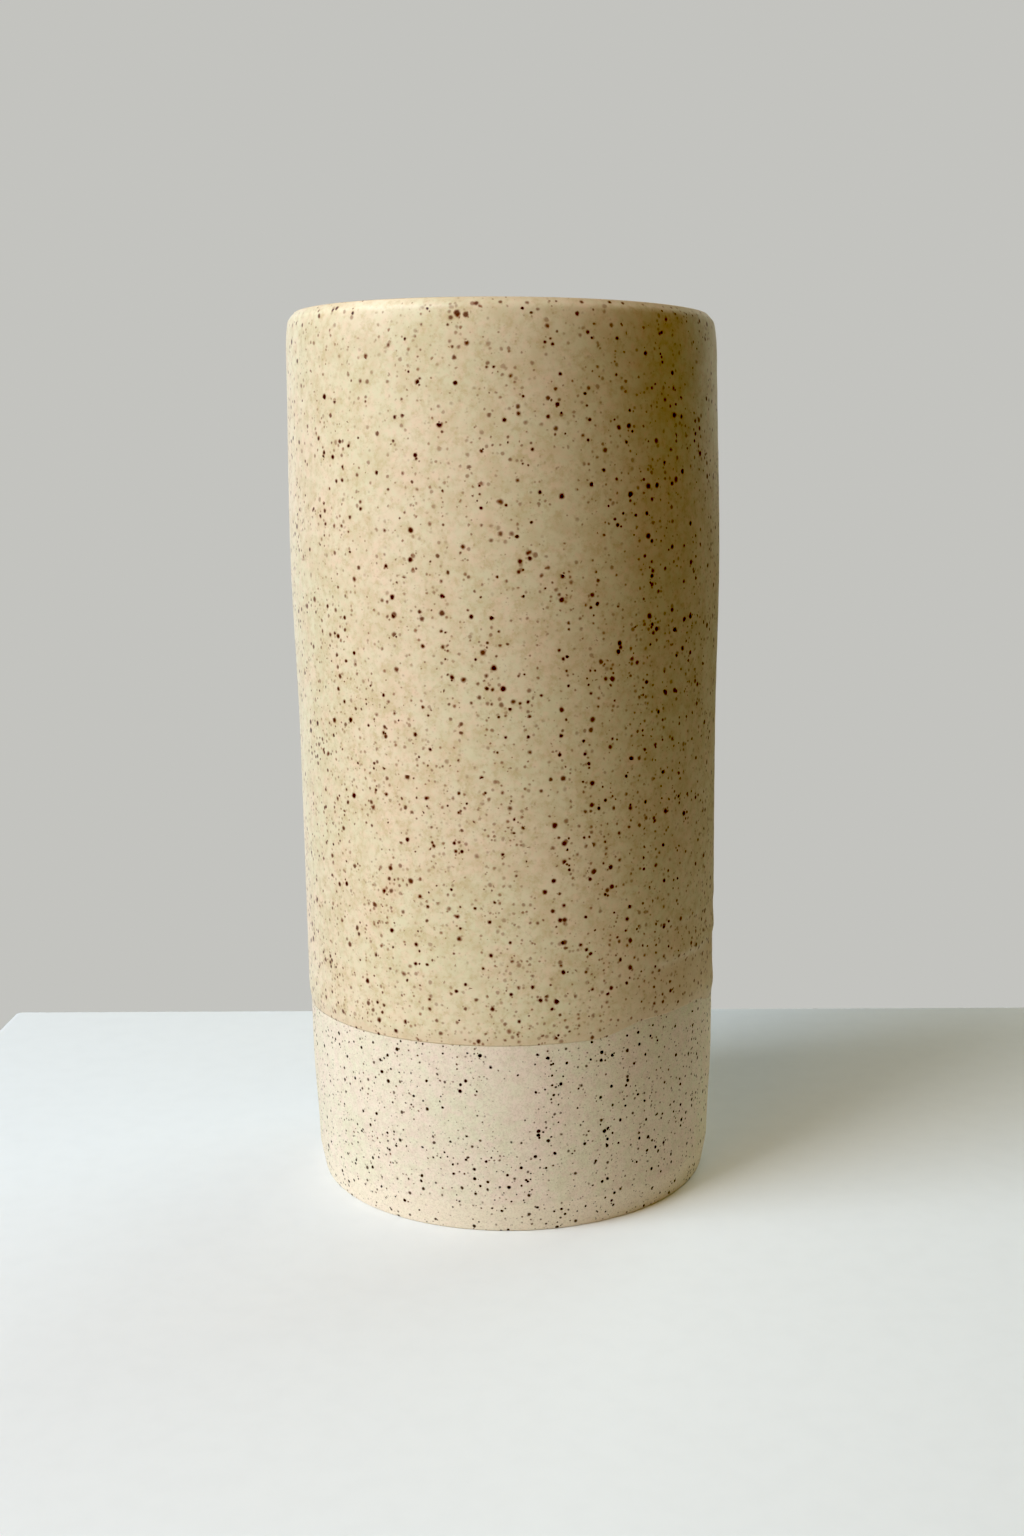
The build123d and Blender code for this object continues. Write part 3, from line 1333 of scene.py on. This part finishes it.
@dataclass
class Studio:
    """A white plinth, a pale backdrop colour, soft window light from the left, and the camera."""

    middle: Vector
    plinth_width: float = 0.327
    plinth_turn: float = -1.8
    plinth_back: float = 0.112
    plinth_front: float = -0.300
    plinth_depth: float = 0.5
    plinth_edge: float = 2.5 * MM
    plinth_edge_steps: int = 3
    paint: Colour = (0.80, 0.825, 0.83)
    paint_shade: Colour = (0.75, 0.775, 0.78)
    paint_roughness: float = 0.55
    paint_specular: float = 0.05
    backdrop: Colour = (0.56, 0.56, 0.535)
    ambient: Colour = (0.010, 0.010, 0.009)
    black_level: float = 0.03
    lens: float = 39.4
    sensor: float = 36.0
    nearest: float = 10.0 * MM
    camera_side: float = 0.001
    camera_distance: float = 0.402
    camera_height: float = 0.1697
    camera_pitch: float = 10.15
    camera_roll: float = -0.85
    lights: tuple[SoftLight, ...] = field(default_factory=lambda: (
        SoftLight("high_window", turn=-60.0, rise=42.0, size=(0.70, 0.60), power=11.4,
                  colour=(0.813, 0.907, 1.000)),
        SoftLight("low_window", turn=-60.0, rise=12.0, size=(0.70, 0.60), power=5.8,
                  colour=(0.705, 0.815, 1.000), shine=False),
        SoftLight("floor_glow", turn=-35.0, rise=25.0, size=(0.70, 0.60), power=3.6,
                  colour=(1.000, 0.585, 0.115), shine=False),
        SoftLight("wall_bounce", turn=140.0, rise=20.0, size=(0.80, 0.60), power=6.7,
                  colour=(0.830, 0.937, 0.900), shine=False),
        SoftLight("room_glow", turn=90.0, rise=20.0, size=(0.80, 0.60), power=1.4,
                  colour=(1.000, 0.610, 0.000), shine=False),
        SoftLight("overhead", turn=0.0, rise=90.0, size=(0.50, 0.50), power=0.9,
                  colour=DAYLIGHT, shine=False),
        SoftLight("skylight", turn=-88.0, rise=50.0, size=(0.90, 0.80), power=8.0,
                  colour=DAYLIGHT, spread=False),
        SoftLight("pale_wall", turn=-160.0, rise=5.0, size=(1.60, 1.20), power=6.5,
                  colour=WHITE, spread=False),
        SoftLight("shaded_wall", turn=160.0, rise=25.0, size=(1.20, 0.90), power=1.0,
                  colour=WHITE, spread=False),
    ))

    def build(self) -> None:
        """Set up the plinth, the world, the lights and the camera."""
        self.plinth()
        self.world()
        for light in self.lights:
            light.hang(self.middle)
        self.camera()
        self.develop()

    def plinth(self) -> None:
        """Stand the vase on a plain white block with slightly rounded edges."""
        half = self.plinth_width / 2.0
        low, high = -self.plinth_depth, 0.0
        turn = Matrix.Rotation(math.radians(self.plinth_turn), 3, "Z")
        corners = [turn @ Vector((x, y, z)) for z in (low, high) for x, y in (
            (-half, self.plinth_front), (half, self.plinth_front),
            (half, self.plinth_back), (-half, self.plinth_back))]
        faces = [(3, 2, 1, 0), (4, 5, 6, 7), (0, 1, 5, 4), (1, 2, 6, 5), (2, 3, 7, 6),
                 (3, 0, 4, 7)]
        mesh = bpy.data.meshes.new("plinth")
        mesh.from_pydata(corners, [], faces)
        block = bpy.data.objects.new("plinth", mesh)
        bpy.context.scene.collection.objects.link(block)
        edge = block.modifiers.new("soft_edges", "BEVEL")
        edge.width = self.plinth_edge
        edge.segments = self.plinth_edge_steps
        paint = Board("plinth_paint")
        cloud = paint.noise(paint.place(), size=6.0 * MM, detail=4.0).outputs["Fac"]
        colour = paint.veil(cloud, self.paint, self.paint_shade, start=0.35, full=0.75, share=0.25)
        mesh.materials.append(paint.finish(Base_Color=colour, Roughness=self.paint_roughness,
                                           Specular_IOR_Level=self.paint_specular))
        block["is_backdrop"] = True

    def world(self) -> None:
        """Make the surroundings dim for light and pale to look at, as a lit backdrop is."""
        world = bpy.data.worlds.new("studio")
        world.use_nodes = True
        tree = world.node_tree
        tree.nodes.clear()
        path, dim, pale, both, out = (tree.nodes.new("ShaderNode" + kind) for kind in (
            "LightPath", "Background", "Background", "MixShader", "OutputWorld"))
        dim.inputs["Color"].default_value = (*self.ambient, 1.0)
        pale.inputs["Color"].default_value = (*self.backdrop, 1.0)
        tree.links.new(path.outputs["Is Camera Ray"], both.inputs["Fac"])
        tree.links.new(dim.outputs[0], both.inputs[1])
        tree.links.new(pale.outputs[0], both.inputs[2])
        tree.links.new(both.outputs[0], out.inputs["Surface"])
        bpy.context.scene.world = world

    def camera(self) -> None:
        """Stand the camera in front, a little above half height, looking slightly down."""
        lens = bpy.data.cameras.new("camera")
        lens.lens = self.lens
        lens.sensor_width = self.sensor
        lens.clip_start = self.nearest
        view = bpy.data.objects.new("camera", lens)
        turn = (Matrix.Rotation(math.radians(90.0 - self.camera_pitch), 4, "X")
                @ Matrix.Rotation(math.radians(self.camera_roll), 4, "Z"))
        stand = Matrix.Translation((self.camera_side, -self.camera_distance, self.camera_height))
        view.matrix_world = stand @ turn
        bpy.context.scene.collection.objects.link(view)
        bpy.context.scene.camera = view

    def develop(self) -> None:
        """Print the picture plainly, with slightly deepened blacks."""
        settings = bpy.context.scene.view_settings
        settings.view_transform = "Standard"
        settings.use_curve_mapping = True
        settings.curve_mapping.black_level = (self.black_level,) * 3
        settings.curve_mapping.update()


# ---- Putting it together ----


def report(piece: bpy.types.Object) -> None:
    """Log a piece's name and how fine it is."""
    mesh = piece.data
    log.info("%s: %d vertices, %d faces", piece.name, len(mesh.vertices), len(mesh.polygons))


def main() -> None:
    """Load the frame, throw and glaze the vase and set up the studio."""
    logging.basicConfig(level=logging.INFO, format="%(name)s: %(message)s")
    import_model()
    cad_low, cad_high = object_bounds()
    low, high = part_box("outer_glaze")
    lines = PotLines(height=high.z, widest=min(high.x, high.y))
    report(ThrownClay(lines).build(BareStoneware().make()))
    report(DippedCoat(lines).build(CreamGlaze(name="cream_glaze").make()))
    report(PouredLiner(lines).build(CreamGlaze(name="liner_glaze", roughness=0.36).make()))
    Studio(middle=(cad_low + cad_high) / 2.0).build()


if __name__ == "__main__":
    main()
